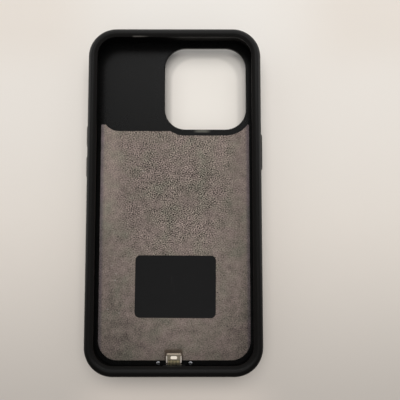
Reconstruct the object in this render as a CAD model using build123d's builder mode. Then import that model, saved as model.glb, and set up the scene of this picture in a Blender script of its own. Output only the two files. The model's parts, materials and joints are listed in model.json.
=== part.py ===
"""Battery charging case for a phone.

A soft bumper holds the phone by its edges. A hard back shell carries the battery in a hump
behind the phone, closed by a lined panel. A plug in the bottom wall feeds the phone.
The case lies on its back: +Z is out of the phone opening, +Y towards the camera end.
All sizes are in millimetres.
"""

import os

from build123d import *

# Phone that the case is shaped around
phone_width = 71.5
phone_length = 146.7
phone_thickness = 7.65
phone_corner = 9.75

# Gaps round the phone, and between pieces that are fitted together
phone_side_gap = 0.15
phone_end_gap = 0.4
phone_depth_gap = 0.1
fit = 0.1

# Soft bumper
side_wall = 2.6
top_wall = 2.45
bottom_wall = 3.15
lip_overhang = 1.5
lip_thickness = 1.25
lip_outer_radius = 1.8
lip_crest = 0.6
lip_drop = 0.4
skirt_bevel = 0.6
rim_overlap = 0.3

# Stack behind the phone
back_wall = 1.3
bay_depth = 7.1
panel_thickness = 1.0
lining_thickness = 0.6
web_thickness = 1.8

# Battery hump of the back shell
hump_side_inset = 1.6
hump_end_inset = 0.4
hump_bevel = 3.0
hump_edge_bevel = 0.9
bay_bevel = 1.2
shell_wall = 1.4
panel_ledge = 1.2

# Camera opening, measured from the phone's top right corner, and the bare recess round it
camera_width = 37.5
camera_height = 38.45
camera_corner = 9.6
camera_from_side = 3.1
camera_from_top = 2.5
camera_bevel = 0.4
camera_band = 3.15
recess_below_camera = 1.1
recess_margin = 2.55
recess_corner = 7.7
recess_ear_height = 3.0

# Panel, lining and label on the cavity floor
panel_edge_gap = 0.3
panel_reveal = 0.35
lining_side_margin = 2.05
lining_end_margin = 2.3
lining_corner = 8.7
lining_tip_radius = 0.35
label_width = 36.1
label_height = 27.6
label_corner = 2.2
label_thickness = 0.12
label_from_lining_end = 18.5
label_offset = 0.4
label_turn = -0.4

# Side button covers and switch window, measured from the phone's top end
cover_rise = 0.6
cover_width = 4.4
cover_bevel = 0.3
cover_skin = 1.6
volume_cover_length = 10.4
volume_up_from_top = 45.5
volume_down_from_top = 59.3
power_cover_length = 16.5
power_from_top = 52.6
window_from_top = 30.7
window_length = 10.0
window_width = 5.0
window_corner = 1.6
window_bevel = 0.6

# Sound slots in the bottom wall, one each side of the plug
slot_length = 11.5
slot_width = 2.4
slot_spacing = 29.0

# Output plug that enters the phone
plug_width = 6.7
plug_thickness = 1.5
plug_tip_corner = 1.0
plug_edge_bevel = 0.4
plug_reach = 6.2
contact_count = 8
contact_pitch = 0.62
contact_width = 0.36
contact_length = 2.1
contact_thickness = 0.08
insert_thickness = 0.12
insert_margin = 0.2
insert_from_tip = 2.7
dimple_length = 2.9
dimple_width = 1.5
dimple_depth = 0.1
dimple_from_tip = 1.75
detent_radius = 0.45
detent_from_tip = 4.3
base_width = 10.0
base_above_plug = 1.75
base_corner = 0.8
base_depth = 0.8
base_proud = 0.3
riser_width = 10.4
riser_thickness = 0.8

# Main board and the parts on its upper side
board_level = 4.2
board_thickness = 0.8
board_width = 50.0
board_depth = 15.0
board_post_inset = 2.6
post_size = 3.0
shelf_width = 6.0
shelf_depth = 1.5
shelf_spacing = 36.0
peg_size = 1.3
chip_size = 5.0
chip_thickness = 0.9
chip_offset = -14.0
coil_size = 6.2
coil_height = 2.4
coil_corner = 1.2
coil_offset = 13.5
capacitor_length = 2.0
capacitor_width = 1.25
capacitor_height = 1.1
capacitor_count = 4
capacitor_pitch = 2.2
capacitor_offset = 3.0

# Input socket at the end of the board
socket_width = 8.2
socket_height = 3.0
socket_length = 6.4
socket_wall = 0.3
socket_slot_width = 6.9
socket_slot_height = 1.7
socket_slot_depth = 5.6
socket_contact_width = 0.34
socket_contact_length = 3.6
socket_contact_thickness = 0.15
mouth_margin = 0.3

# Power button on the back, its switch, and the charge lights beside it
controls_from_board_edge = 5.5
button_offset = -10.0
button_length = 7.0
button_width = 3.6
button_gap = 0.2
button_recess = 0.1
button_bevel = 0.3
button_flange = 0.8
button_flange_thickness = 0.6
button_travel = 0.25
switch_size = 4.0
switch_height = 1.2
plunger_radius = 0.8
plunger_gap = 0.15
plunger_proud = 0.35
plunger_depth = 0.4
light_offset = 6.0
light_count = 4
light_spacing = 4.0
led_length = 1.6
led_width = 0.8
led_height = 0.6
guide_length = 2.2
guide_width = 1.0
guide_margin = 0.6
guide_led_gap = 0.2

# Battery cell and what holds it
cell_board_gap = 2.0
cell_side_gap = 3.4
cell_end_gap = 2.6
cell_thickness = 6.3
cell_edge_radius = 1.4
pad_thickness = 0.3
pad_inset = 10.0
tab_width = 5.0
tab_thickness = 0.15
tab_spacing = 24.0
tab_overlap = 3.0
rib_thickness = 1.0
rib_height = 2.2
rib_length = 44.0

# Screws that hold the panel, one each side of the plug
screw_spacing = 14.26
screw_from_wall = 0.95
screw_head_radius = 0.85
screw_head_height = 0.4
screw_radius = 0.5
screw_sides = 10
screw_length = 3.4
screw_gap = 0.05
boss_length = 3.0

# Levels that follow from the sizes above
web_top = back_wall + bay_depth
web_bottom = web_top - web_thickness
panel_top = web_top + panel_thickness
lining_top = panel_top + lining_thickness
phone_middle = lining_top + phone_thickness / 2
lip_bottom = lining_top + phone_thickness + phone_depth_gap
case_height = lip_bottom + lip_thickness
plug_bottom = phone_middle - plug_thickness / 2
plug_top = phone_middle + plug_thickness / 2
board_top = board_level + board_thickness
socket_level = board_level + board_thickness / 2
socket_top = socket_level + socket_height / 2
socket_floor = socket_level - socket_slot_height / 2
flange_level = back_wall + fit
switch_bottom = board_level - switch_height
plunger_tip = switch_bottom - plunger_proud
led_bottom = board_level - led_height
cell_bottom = back_wall + pad_thickness

# Outlines that follow from the sizes above
cavity_width = phone_width + 2 * phone_side_gap
cavity_length = phone_length + 2 * phone_end_gap
cavity_corner = phone_corner + phone_side_gap
case_width = cavity_width + 2 * side_wall
case_length = cavity_length + top_wall + bottom_wall
case_corner = cavity_corner + side_wall
cavity_top = case_length / 2 - top_wall
cavity_bottom = bottom_wall - case_length / 2
phone_top = cavity_top - phone_end_gap
lip_corner = cavity_corner - lip_overhang
lip_slope = min(side_wall, top_wall, bottom_wall) + lip_overhang - lip_outer_radius - lip_crest
rim_width = cavity_width + 2 * rim_overlap
rim_top = cavity_top + rim_overlap
rim_end = cavity_bottom - rim_overlap
rim_corner = cavity_corner + rim_overlap

camera_x = phone_width / 2 - camera_from_side - camera_width / 2
camera_y = phone_top - camera_from_top - camera_height / 2
camera_low = camera_y - camera_height / 2
recess_low = camera_low - recess_below_camera
recess_left = recess_margin - cavity_width / 2

bay_width = rim_width - 2 * shell_wall
bay_end = rim_end + shell_wall
bay_top = camera_low - camera_band - panel_ledge
bay_corner = rim_corner - shell_wall
hump_width = case_width - 2 * hump_side_inset
hump_end = hump_end_inset - case_length / 2
hump_top = bay_top + 2 * shell_wall
hump_corner = case_corner - hump_side_inset

# Places along the case
riser_front = cavity_bottom + base_proud - base_depth
riser_back = riser_front - riser_thickness
well_end = riser_back - fit
plug_tip = cavity_bottom + plug_reach
insert_y = plug_tip - insert_from_tip - insert_margin - contact_length / 2
board_end = bay_end + 2 * fit
board_edge = board_end + board_depth
board_middle = (board_end + board_edge) / 2
controls_y = board_edge - controls_from_board_edge
button_place = (button_offset, controls_y)
socket_mouth = well_end + fit
cell_low = board_edge + cell_board_gap
cell_high = bay_top - cell_end_gap
cell_middle = (cell_low + cell_high) / 2
cell_width = bay_width - 2 * cell_side_gap
lining_end = cavity_bottom + lining_end_margin
label_y = lining_end + label_from_lining_end + label_height / 2
screw_y = cavity_bottom + screw_from_wall
boss_radius = screw_from_wall + rim_overlap

screw_places = [(-screw_spacing / 2, screw_y), (screw_spacing / 2, screw_y)]
slot_places = [(-slot_spacing / 2, 0), (slot_spacing / 2, 0)]
volume_places = [(phone_top - volume_up_from_top, 0), (phone_top - volume_down_from_top, 0)]
power_place = (phone_top - power_from_top, 0)
window_place = (phone_top - window_from_top, 0)
first_light = light_offset - light_spacing * (light_count - 1) / 2
light_places = [(first_light + i * light_spacing, controls_y) for i in range(light_count)]
post_x = board_width / 2 - board_post_inset
post_places = [(side * post_x, board_edge - board_post_inset) for side in (-1, 1)]
shelf_places = [(side * shelf_spacing / 2, bay_end) for side in (-1, 1)]

# Planes on the walls, each facing out of the case
left_face = Plane((-case_width / 2, 0, phone_middle), x_dir=(0, 1, 0), z_dir=(-1, 0, 0))
right_face = Plane((case_width / 2, 0, phone_middle), x_dir=(0, 1, 0), z_dir=(1, 0, 0))


def end_plane(y):
    """Upright plane across the case that faces the bottom end, with its height in Z."""
    return Plane((0, y, 0), x_dir=(1, 0, 0), z_dir=(0, -1, 0))


def span_rectangle(width, low, high, corner):
    """Rounded rectangle centred across the case, from one Y to another."""
    with Locations((0, (low + high) / 2)):
        RectangleRounded(width, high - low, corner)


def floor_sheet(side_margin, end_margin, corner, reveal):
    """Outline of a sheet on the cavity floor, cut round the camera recess."""
    recess_height = case_length - recess_low
    band = camera_band - reveal
    with BuildSketch() as outline:
        span_rectangle(cavity_width - 2 * side_margin, cavity_bottom + end_margin, cavity_top, corner)
        with Locations((recess_left, recess_low + reveal)):
            RectangleRounded(
                camera_x - recess_left,
                recess_height,
                recess_corner,
                align=(Align.MIN, Align.MIN),
                mode=Mode.SUBTRACT,
            )
        with Locations((camera_x, camera_y)):
            RectangleRounded(
                camera_width + 2 * band,
                camera_height + 2 * band,
                camera_corner + band,
                mode=Mode.SUBTRACT,
            )
        with Locations((0, recess_low + recess_ear_height)):
            Rectangle(case_width, case_length, align=(Align.CENTER, Align.MIN), mode=Mode.SUBTRACT)
    return outline.sketch


os.makedirs("parts", exist_ok=True)


def save(part, name):
    """Label one finished piece and write its file."""
    part.label = name
    export_step(part, f"parts/{name}.step")


# Soft bumper, a wall round the phone with a lip over the edge of its screen
with BuildPart() as bumper_frame:
    with BuildSketch(Plane.XY.offset(web_bottom)):
        RectangleRounded(case_width, case_length, case_corner)
    extrude(amount=case_height - web_bottom)
    fillet(bumper_frame.edges().group_by(Axis.Z)[-1], lip_outer_radius)
    chamfer(bumper_frame.edges().group_by(Axis.Z)[0], skirt_bevel)
    # Raised covers over the phone's side buttons
    with BuildSketch(left_face.offset(-side_wall / 2)):
        with Locations(*volume_places):
            SlotOverall(volume_cover_length, cover_width)
    with BuildSketch(right_face.offset(-side_wall / 2)):
        with Locations(power_place):
            SlotOverall(power_cover_length, cover_width)
    extrude(amount=side_wall / 2 + cover_rise)
    chamfer(bumper_frame.edges().group_by(Axis.X)[0], cover_bevel)
    chamfer(bumper_frame.edges().group_by(Axis.X)[-1], cover_bevel)
    # Room for the phone, the opening inside the lip, and the seat of the back shell
    with BuildSketch(Plane.XY.offset(web_top)):
        span_rectangle(cavity_width, cavity_bottom, cavity_top, cavity_corner)
    extrude(amount=lip_bottom - web_top, mode=Mode.SUBTRACT)
    with BuildSketch(Plane.XY.offset(lip_bottom)):
        span_rectangle(
            cavity_width - 2 * lip_overhang,
            cavity_bottom + lip_overhang,
            cavity_top - lip_overhang,
            lip_corner,
        )
    extrude(amount=lip_thickness, mode=Mode.SUBTRACT)
    with BuildSketch(Plane.XY.offset(web_bottom)):
        span_rectangle(rim_width + 2 * fit, rim_end - fit, rim_top + fit, rim_corner + fit)
    extrude(amount=web_thickness, mode=Mode.SUBTRACT)
    # The lip falls away from its crest towards the screen
    lip_face = bumper_frame.faces().sort_by(Axis.Z)[-1]
    chamfer(lip_face.inner_wires()[0].edges(), lip_slope, lip_drop, reference=lip_face)
    # Pockets behind the covers, where the phone's own buttons stand
    with BuildSketch(left_face.offset(cover_rise - cover_skin)):
        with Locations(*volume_places):
            Rectangle(volume_cover_length - 2 * cover_skin, cover_width - cover_skin)
    with BuildSketch(right_face.offset(cover_rise - cover_skin)):
        with Locations(power_place):
            Rectangle(power_cover_length - 2 * cover_skin, cover_width - cover_skin)
    extrude(amount=-side_wall, mode=Mode.SUBTRACT)
    # Window at the phone's ring switch, wider outside than inside
    with BuildSketch(left_face):
        with Locations(window_place):
            RectangleRounded(window_length, window_width, window_corner)
    extrude(amount=-2 * side_wall, mode=Mode.SUBTRACT)
    wall_edges = bumper_frame.edges().filter_by(lambda e: abs(e.center().X + case_width / 2) < fit)
    window_edges = wall_edges.filter_by(
        lambda e: abs(e.center().Y - window_place[0]) <= window_length / 2 + fit
        and abs(e.center().Z - phone_middle) <= window_width / 2 + fit
    )
    chamfer(window_edges, window_bevel)
    # Sound slots, and the pocket for the foot of the plug
    with BuildSketch(end_plane(-case_length / 2)):
        with Locations(*[(x, phone_middle) for x, _ in slot_places]):
            SlotOverall(slot_length, slot_width)
    extrude(amount=-2 * bottom_wall, mode=Mode.SUBTRACT)
    with BuildSketch(Plane.XY.offset(web_bottom)):
        with Locations((0, well_end)):
            Rectangle(
                riser_width + 2 * fit,
                cavity_bottom + lip_overhang - well_end,
                align=(Align.CENTER, Align.MIN),
            )
    extrude(amount=plug_top + base_above_plug + fit - web_bottom, mode=Mode.SUBTRACT)
save(bumper_frame.part, "bumper_frame")

# Hard back shell, a tray with a hump for the battery and a thin web round the camera
with BuildPart() as back_shell:
    with BuildSketch(Plane.XY):
        span_rectangle(hump_width, hump_end, hump_top, hump_corner)
    extrude(amount=web_bottom)
    chamfer(back_shell.edges().group_by(Axis.Z)[0], hump_bevel)
    # Softer steps each side of the bevel
    bevel_edges = back_shell.edges().filter_by(lambda e: abs(e.center().Z - hump_bevel) < fit)
    chamfer(bevel_edges + back_shell.edges().group_by(Axis.Z)[0], hump_edge_bevel)
    with BuildSketch(Plane.XY.offset(web_bottom)):
        span_rectangle(rim_width, rim_end, rim_top, rim_corner)
    extrude(amount=web_thickness)
    # Battery bay, open at the top until the panel closes it
    with BuildSketch(Plane.XY.offset(back_wall)):
        span_rectangle(bay_width, bay_end, bay_top, bay_corner)
    extrude(amount=bay_depth, mode=Mode.SUBTRACT)
    floor_edges = back_shell.edges().filter_by(lambda e: abs(e.center().Z - back_wall) < fit / 10)
    chamfer(floor_edges, bay_bevel)
    # Camera opening with bevelled edges
    with BuildSketch(Plane.XY.offset(web_bottom)):
        with Locations((camera_x, camera_y)):
            RectangleRounded(camera_width, camera_height, camera_corner)
    extrude(amount=web_thickness, mode=Mode.SUBTRACT)
    camera_edges = back_shell.edges().filter_by(
        lambda e: abs(e.center().X - camera_x) < camera_width / 2 + fit
        and abs(e.center().Y - camera_y) < camera_height / 2 + fit
        and e.center().Z > web_bottom - fit
    )
    level_edges = camera_edges.filter_by(Axis.Z, reverse=True)
    chamfer(level_edges, camera_bevel)
    # Well for the socket and the riser, and the mouth of the socket
    with BuildSketch(Plane.XY.offset(socket_level - socket_height / 2 - fit)):
        with Locations((0, well_end)):
            Rectangle(
                riser_width + 2 * fit,
                bay_end + 2 * bay_bevel - well_end,
                align=(Align.CENTER, Align.MIN),
            )
    extrude(amount=web_bottom - socket_level + socket_height / 2 + fit, mode=Mode.SUBTRACT)
    with BuildSketch(end_plane(hump_end)):
        with Locations((0, socket_level)):
            SlotOverall(socket_width + 2 * mouth_margin, socket_height + 2 * mouth_margin)
    extrude(amount=hump_end - well_end, mode=Mode.SUBTRACT)
    # Holes for the power button and the charge lights
    with BuildSketch(Plane.XY):
        with Locations(button_place):
            SlotOverall(button_length + 2 * button_gap, button_width + 2 * button_gap)
        with Locations(*light_places):
            Rectangle(guide_length + 2 * fit, guide_width + 2 * fit)
    extrude(amount=back_wall, mode=Mode.SUBTRACT)
    # Posts with pegs and shelves under the board, a rib that stops the cell, and screw bosses
    with BuildSketch(Plane.XY.offset(back_wall - fit)):
        with Locations(*post_places):
            Rectangle(post_size, post_size)
    extrude(amount=board_level - back_wall + fit)
    with BuildSketch(Plane.XY.offset(board_level)):
        with Locations(*post_places):
            Rectangle(peg_size, peg_size)
    extrude(amount=board_thickness)
    with BuildSketch(Plane.XY.offset(back_wall - fit)):
        with Locations(*shelf_places):
            Rectangle(shelf_width, shelf_depth, align=(Align.CENTER, Align.MIN))
    extrude(amount=board_level - back_wall + fit)
    with BuildSketch(Plane.XY.offset(back_wall - fit)):
        with Locations((0, (board_edge + cell_low) / 2)):
            Rectangle(rib_length, rib_thickness)
    extrude(amount=rib_height + fit)
    with BuildSketch(Plane.XY.offset(web_top - boss_length)):
        with Locations(*screw_places):
            Rectangle(2 * boss_radius, 2 * boss_radius)
    extrude(amount=boss_length)
    with BuildSketch(Plane.XY.offset(web_top - boss_length)):
        with Locations(*screw_places):
            RegularPolygon(screw_radius + screw_gap, screw_sides)
    extrude(amount=boss_length, mode=Mode.SUBTRACT)
save(back_shell.part, "back_shell")

# Inner panel that closes the bay and carries the lining
with BuildPart() as inner_panel:
    with BuildSketch(Plane.XY.offset(web_top)):
        add(floor_sheet(panel_edge_gap, panel_edge_gap, cavity_corner - panel_edge_gap, panel_reveal))
    extrude(amount=panel_thickness)
    with BuildSketch(Plane.XY.offset(web_top)):
        with Locations(*screw_places):
            RegularPolygon(screw_radius + screw_gap, screw_sides)
    extrude(amount=panel_thickness, mode=Mode.SUBTRACT)
save(inner_panel.part, "inner_panel")

# Soft lining that the back of the phone lies on
with BuildPart() as suede_lining:
    with BuildSketch(Plane.XY.offset(panel_top)) as lining_sketch:
        add(floor_sheet(lining_side_margin, lining_end_margin, lining_corner, 0))
        lining_sides = lining_sketch.vertices().group_by(Axis.X)
        lining_tips = [lining_sides[0].sort_by(Axis.Y)[-1], lining_sides[-1].sort_by(Axis.Y)[-1]]
        fillet(lining_tips, lining_tip_radius)
    extrude(amount=lining_thickness)
save(suede_lining.part, "suede_lining")

# Blank label on the lining
with BuildPart() as blank_label:
    with BuildSketch(Plane.XY.offset(lining_top)):
        with Locations((label_offset, label_y)):
            RectangleRounded(label_width, label_height, label_corner, rotation=label_turn)
    extrude(amount=label_thickness)
save(blank_label.part, "blank_label")

# Panel screws
with BuildPart() as panel_screws:
    with BuildSketch(Plane.XY.offset(panel_top - screw_length)):
        with Locations(*screw_places):
            RegularPolygon(screw_radius, screw_sides)
    extrude(amount=screw_length)
    with BuildSketch(Plane.XY.offset(panel_top)):
        with Locations(*screw_places):
            Circle(screw_head_radius)
    extrude(amount=screw_head_height)
save(panel_screws.part, "panel_screws")

# Metal blade of the output plug
with BuildPart() as plug_blade:
    with BuildSketch(Plane.XY.offset(plug_bottom)) as blade_sketch:
        with Locations((0, riser_front)):
            Rectangle(plug_width, plug_tip - riser_front, align=(Align.CENTER, Align.MIN))
        fillet(blade_sketch.vertices().group_by(Axis.Y)[-1], plug_tip_corner)
    extrude(amount=plug_thickness)
    blade_edges = plug_blade.faces().sort_by(Axis.Z)[0].edges() + plug_blade.faces().sort_by(Axis.Z)[-1].edges()
    chamfer(blade_edges.filter_by(lambda e: e.center().Y > riser_front + fit), plug_edge_bevel)
    with BuildSketch(Plane.XY.offset(plug_bottom)):
        with Locations(*[(side * plug_width / 2, plug_tip - detent_from_tip) for side in (-1, 1)]):
            RegularPolygon(detent_radius, 8)
    extrude(amount=plug_thickness, mode=Mode.SUBTRACT)
    # Seats of the contacts on both faces, and a shallow dimple on the upper one
    insert_depth = insert_thickness + contact_thickness
    for level in (plug_bottom, plug_top - insert_depth):
        with BuildSketch(Plane.XY.offset(level)):
            with Locations((0, insert_y)):
                Rectangle(
                    contact_pitch * (contact_count - 1) + contact_width + 2 * insert_margin,
                    contact_length + 2 * insert_margin,
                )
        extrude(amount=insert_depth, mode=Mode.SUBTRACT)
    with BuildSketch(Plane.XY.offset(plug_top - dimple_depth)):
        with Locations((0, plug_tip - dimple_from_tip)):
            SlotOverall(dimple_length, dimple_width)
    extrude(amount=dimple_depth, mode=Mode.SUBTRACT)
save(plug_blade.part, "plug_blade")

# Insulating plates under the plug's contacts, one on each face
with BuildPart() as contact_insert:
    for level in (plug_bottom + contact_thickness, plug_top - contact_thickness - insert_thickness):
        with BuildSketch(Plane.XY.offset(level)):
            with Locations((0, insert_y)):
                Rectangle(
                    contact_pitch * (contact_count - 1) + contact_width + 2 * insert_margin,
                    contact_length + 2 * insert_margin,
                )
        extrude(amount=insert_thickness)
save(contact_insert.part, "contact_insert")

# Contacts of the plug, a row on each face
with BuildPart() as plug_contacts:
    for level in (plug_bottom, plug_top - contact_thickness):
        with BuildSketch(Plane.XY.offset(level)):
            with Locations((0, insert_y)):
                with GridLocations(contact_pitch, 0, contact_count, 1):
                    Rectangle(contact_width, contact_length)
        extrude(amount=contact_thickness)
save(plug_contacts.part, "plug_contacts")

# Collar that holds the plug in the bottom wall
with BuildPart() as plug_collar:
    collar_top = plug_top + base_above_plug
    with BuildSketch(end_plane(cavity_bottom + base_proud)):
        with Locations((0, (panel_top + collar_top) / 2)):
            RectangleRounded(base_width, collar_top - panel_top, base_corner)
        with Locations((0, phone_middle)):
            Rectangle(plug_width + fit, plug_thickness + fit, mode=Mode.SUBTRACT)
    extrude(amount=base_depth)
save(plug_collar.part, "plug_collar")

# Riser board that joins the plug to the main board
with BuildPart() as riser_board:
    with BuildSketch(end_plane(riser_front)):
        with Locations((0, board_top)):
            Rectangle(riser_width, collar_top - board_top, align=(Align.CENTER, Align.MIN))
            Rectangle(
                socket_width + 4 * fit,
                socket_top + 2 * fit - board_top,
                align=(Align.CENTER, Align.MIN),
                mode=Mode.SUBTRACT,
            )
    extrude(amount=riser_thickness)
save(riser_board.part, "riser_board")

# Main board, notched for the socket
with BuildPart() as main_board:
    with BuildSketch(Plane.XY.offset(board_level)):
        with Locations((0, board_end)):
            Rectangle(board_width, board_depth, align=(Align.CENTER, Align.MIN))
        with Locations((0, riser_back)):
            Rectangle(riser_width, board_end - riser_back, align=(Align.CENTER, Align.MIN))
            Rectangle(
                socket_width + 4 * fit,
                socket_mouth + socket_length + 2 * fit - riser_back,
                align=(Align.CENTER, Align.MIN),
                mode=Mode.SUBTRACT,
            )
        with Locations(*post_places):
            Rectangle(peg_size + 2 * fit, peg_size + 2 * fit, mode=Mode.SUBTRACT)
    extrude(amount=board_thickness)
save(main_board.part, "main_board")

# Metal shell of the input socket, open at the mouth
with BuildPart() as socket_shell:
    with BuildSketch(end_plane(socket_mouth)):
        with Locations((0, socket_level)):
            SlotOverall(socket_width, socket_height)
            SlotOverall(
                socket_width - 2 * socket_wall, socket_height - 2 * socket_wall, mode=Mode.SUBTRACT
            )
    extrude(amount=-socket_length)
save(socket_shell.part, "socket_shell")

# Insulating body inside the socket, with the slot that a cable's plug enters
with BuildPart() as socket_body:
    with BuildSketch(end_plane(socket_mouth)):
        with Locations((0, socket_level)):
            SlotOverall(
                socket_width - 2 * socket_wall - fit, socket_height - 2 * socket_wall - fit
            )
    extrude(amount=-socket_length)
    with BuildSketch(end_plane(socket_mouth)):
        with Locations((0, socket_level)):
            SlotOverall(socket_slot_width, socket_slot_height)
    extrude(amount=-socket_slot_depth, mode=Mode.SUBTRACT)
save(socket_body.part, "socket_body")

# Contacts on the floor of the socket
with BuildPart() as socket_contacts:
    with BuildSketch(Plane.XY.offset(socket_floor)):
        with Locations((0, socket_mouth + socket_slot_depth - socket_contact_length / 2)):
            with GridLocations(contact_pitch, 0, contact_count, 1):
                Rectangle(socket_contact_width, socket_contact_length)
    extrude(amount=socket_contact_thickness)
save(socket_contacts.part, "socket_contacts")

# Parts on the upper side of the board
with BuildPart() as charge_chip:
    with BuildSketch(Plane.XY.offset(board_top)):
        with Locations((chip_offset, board_middle)):
            Rectangle(chip_size, chip_size)
    extrude(amount=chip_thickness)
save(charge_chip.part, "charge_chip")

with BuildPart() as power_coil:
    with BuildSketch(Plane.XY.offset(board_top)):
        with Locations((coil_offset, board_middle)):
            RectangleRounded(coil_size, coil_size, coil_corner)
    extrude(amount=coil_height)
save(power_coil.part, "power_coil")

with BuildPart() as capacitors:
    with BuildSketch(Plane.XY.offset(board_top)):
        with Locations((capacitor_offset, controls_y)):
            with GridLocations(capacitor_pitch, 0, capacitor_count, 1):
                Rectangle(capacitor_width, capacitor_length)
    extrude(amount=capacitor_height)
save(capacitors.part, "capacitors")

# Charge lights under the board, and the clear guide that brings them to the back
with BuildPart() as charge_lights:
    with BuildSketch(Plane.XY.offset(led_bottom)):
        with Locations(*light_places):
            Rectangle(led_length, led_width)
    extrude(amount=led_height)
save(charge_lights.part, "charge_lights")

with BuildPart() as light_guide:
    with BuildSketch(Plane.XY.offset(back_wall)):
        with Locations((light_offset, controls_y)):
            Rectangle(
                light_spacing * (light_count - 1) + guide_length + 2 * guide_margin,
                guide_width + 2 * guide_margin,
            )
    extrude(amount=led_bottom - guide_led_gap - back_wall)
    with BuildSketch(Plane.XY.offset(button_recess)):
        with Locations(*light_places):
            Rectangle(guide_length, guide_width)
    extrude(amount=back_wall - button_recess)
save(light_guide.part, "light_guide")

# Switch under the board, with a bore for its plunger
with BuildPart() as tact_switch:
    with BuildSketch(Plane.XY.offset(switch_bottom)):
        with Locations(button_place):
            Rectangle(switch_size, switch_size)
    extrude(amount=switch_height)
    with BuildSketch(Plane.XY.offset(switch_bottom)):
        with Locations(button_place):
            Circle(plunger_radius + plunger_gap)
    extrude(amount=plunger_depth + button_travel + fit, mode=Mode.SUBTRACT)
save(tact_switch.part, "tact_switch")

with BuildPart() as switch_plunger:
    with BuildSketch(Plane.XY.offset(plunger_tip)):
        with Locations(button_place):
            Circle(plunger_radius)
    extrude(amount=plunger_proud + plunger_depth)
save(switch_plunger.part, "switch_plunger")

# Power button, kept in its hole by a flange inside the back wall
with BuildPart() as power_button:
    with BuildSketch(Plane.XY.offset(button_recess)):
        with Locations(button_place):
            SlotOverall(button_length, button_width)
    extrude(amount=flange_level - button_recess)
    chamfer(power_button.edges().group_by(Axis.Z)[0], button_bevel)
    with BuildSketch(Plane.XY.offset(flange_level)):
        with Locations(button_place):
            Rectangle(button_length + 2 * button_flange, button_width + 2 * button_flange)
    extrude(amount=button_flange_thickness)
    with BuildSketch(Plane.XY.offset(flange_level + button_flange_thickness)):
        with Locations(button_place):
            Rectangle(2 * plunger_radius, 2 * plunger_radius)
    extrude(amount=plunger_tip - flange_level - button_flange_thickness)
save(power_button.part, "power_button")

# Battery cell, the pad that it is stuck down with, and its two tabs
with BuildPart() as battery_cell:
    with BuildSketch(Plane.XY.offset(cell_bottom)):
        with Locations((0, cell_middle)):
            Rectangle(cell_width, cell_high - cell_low)
    extrude(amount=cell_thickness)
    fillet(battery_cell.edges().filter_by(Axis.Y), cell_edge_radius)
save(battery_cell.part, "battery_cell")

with BuildPart() as cell_pad:
    with BuildSketch(Plane.XY.offset(back_wall)):
        with Locations((0, cell_middle)):
            Rectangle(cell_width - 2 * pad_inset, cell_high - cell_low - 2 * pad_inset)
    extrude(amount=pad_thickness)
save(cell_pad.part, "cell_pad")

with BuildPart() as cell_tabs:
    with BuildSketch(Plane.XY.offset(board_top)):
        with Locations((0, cell_low)):
            with GridLocations(tab_spacing, 0, 2, 1):
                Rectangle(tab_width, cell_board_gap + tab_overlap, align=(Align.CENTER, Align.MAX))
    extrude(amount=tab_thickness)
save(cell_tabs.part, "cell_tabs")
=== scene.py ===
import json
import math

import bmesh
import bpy
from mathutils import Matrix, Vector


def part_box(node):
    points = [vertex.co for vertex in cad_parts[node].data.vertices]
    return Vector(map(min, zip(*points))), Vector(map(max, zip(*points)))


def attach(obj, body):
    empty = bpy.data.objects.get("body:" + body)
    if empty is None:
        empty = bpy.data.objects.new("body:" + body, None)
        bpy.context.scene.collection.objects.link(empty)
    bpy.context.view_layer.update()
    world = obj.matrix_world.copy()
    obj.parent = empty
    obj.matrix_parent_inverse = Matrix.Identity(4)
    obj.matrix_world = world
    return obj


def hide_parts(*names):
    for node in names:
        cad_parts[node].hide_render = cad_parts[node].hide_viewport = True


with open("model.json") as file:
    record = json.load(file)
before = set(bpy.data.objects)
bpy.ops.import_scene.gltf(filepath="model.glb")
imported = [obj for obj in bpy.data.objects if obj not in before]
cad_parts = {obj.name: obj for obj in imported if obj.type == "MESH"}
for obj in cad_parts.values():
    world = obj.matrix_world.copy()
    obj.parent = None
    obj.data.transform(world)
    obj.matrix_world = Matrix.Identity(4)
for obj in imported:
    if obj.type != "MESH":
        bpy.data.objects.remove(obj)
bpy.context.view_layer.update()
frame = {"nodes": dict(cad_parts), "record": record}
nodes = frame["nodes"]
scene = bpy.context.scene
scene.view_settings.view_transform = "Standard"
print("frame loaded:", len(nodes), "nodes")


# Shader maths: a wire is an output socket that can stand in an expression
class Wire:
    def __init__(self, bench, socket):
        self.bench = bench
        self.socket = socket

    def __add__(self, other):
        return self.bench.maths("ADD", self, other)

    def __radd__(self, other):
        return self.bench.maths("ADD", other, self)

    def __sub__(self, other):
        return self.bench.maths("SUBTRACT", self, other)

    def __rsub__(self, other):
        return self.bench.maths("SUBTRACT", other, self)

    def __mul__(self, other):
        return self.bench.maths("MULTIPLY", self, other)

    def __rmul__(self, other):
        return self.bench.maths("MULTIPLY", other, self)

    def __truediv__(self, other):
        return self.bench.maths("DIVIDE", self, other)

    def __rtruediv__(self, other):
        return self.bench.maths("DIVIDE", other, self)

    def __pow__(self, other):
        return self.bench.maths("POWER", self, other)

    def __abs__(self):
        return self.bench.maths("ABSOLUTE", self, 0.0)


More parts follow.
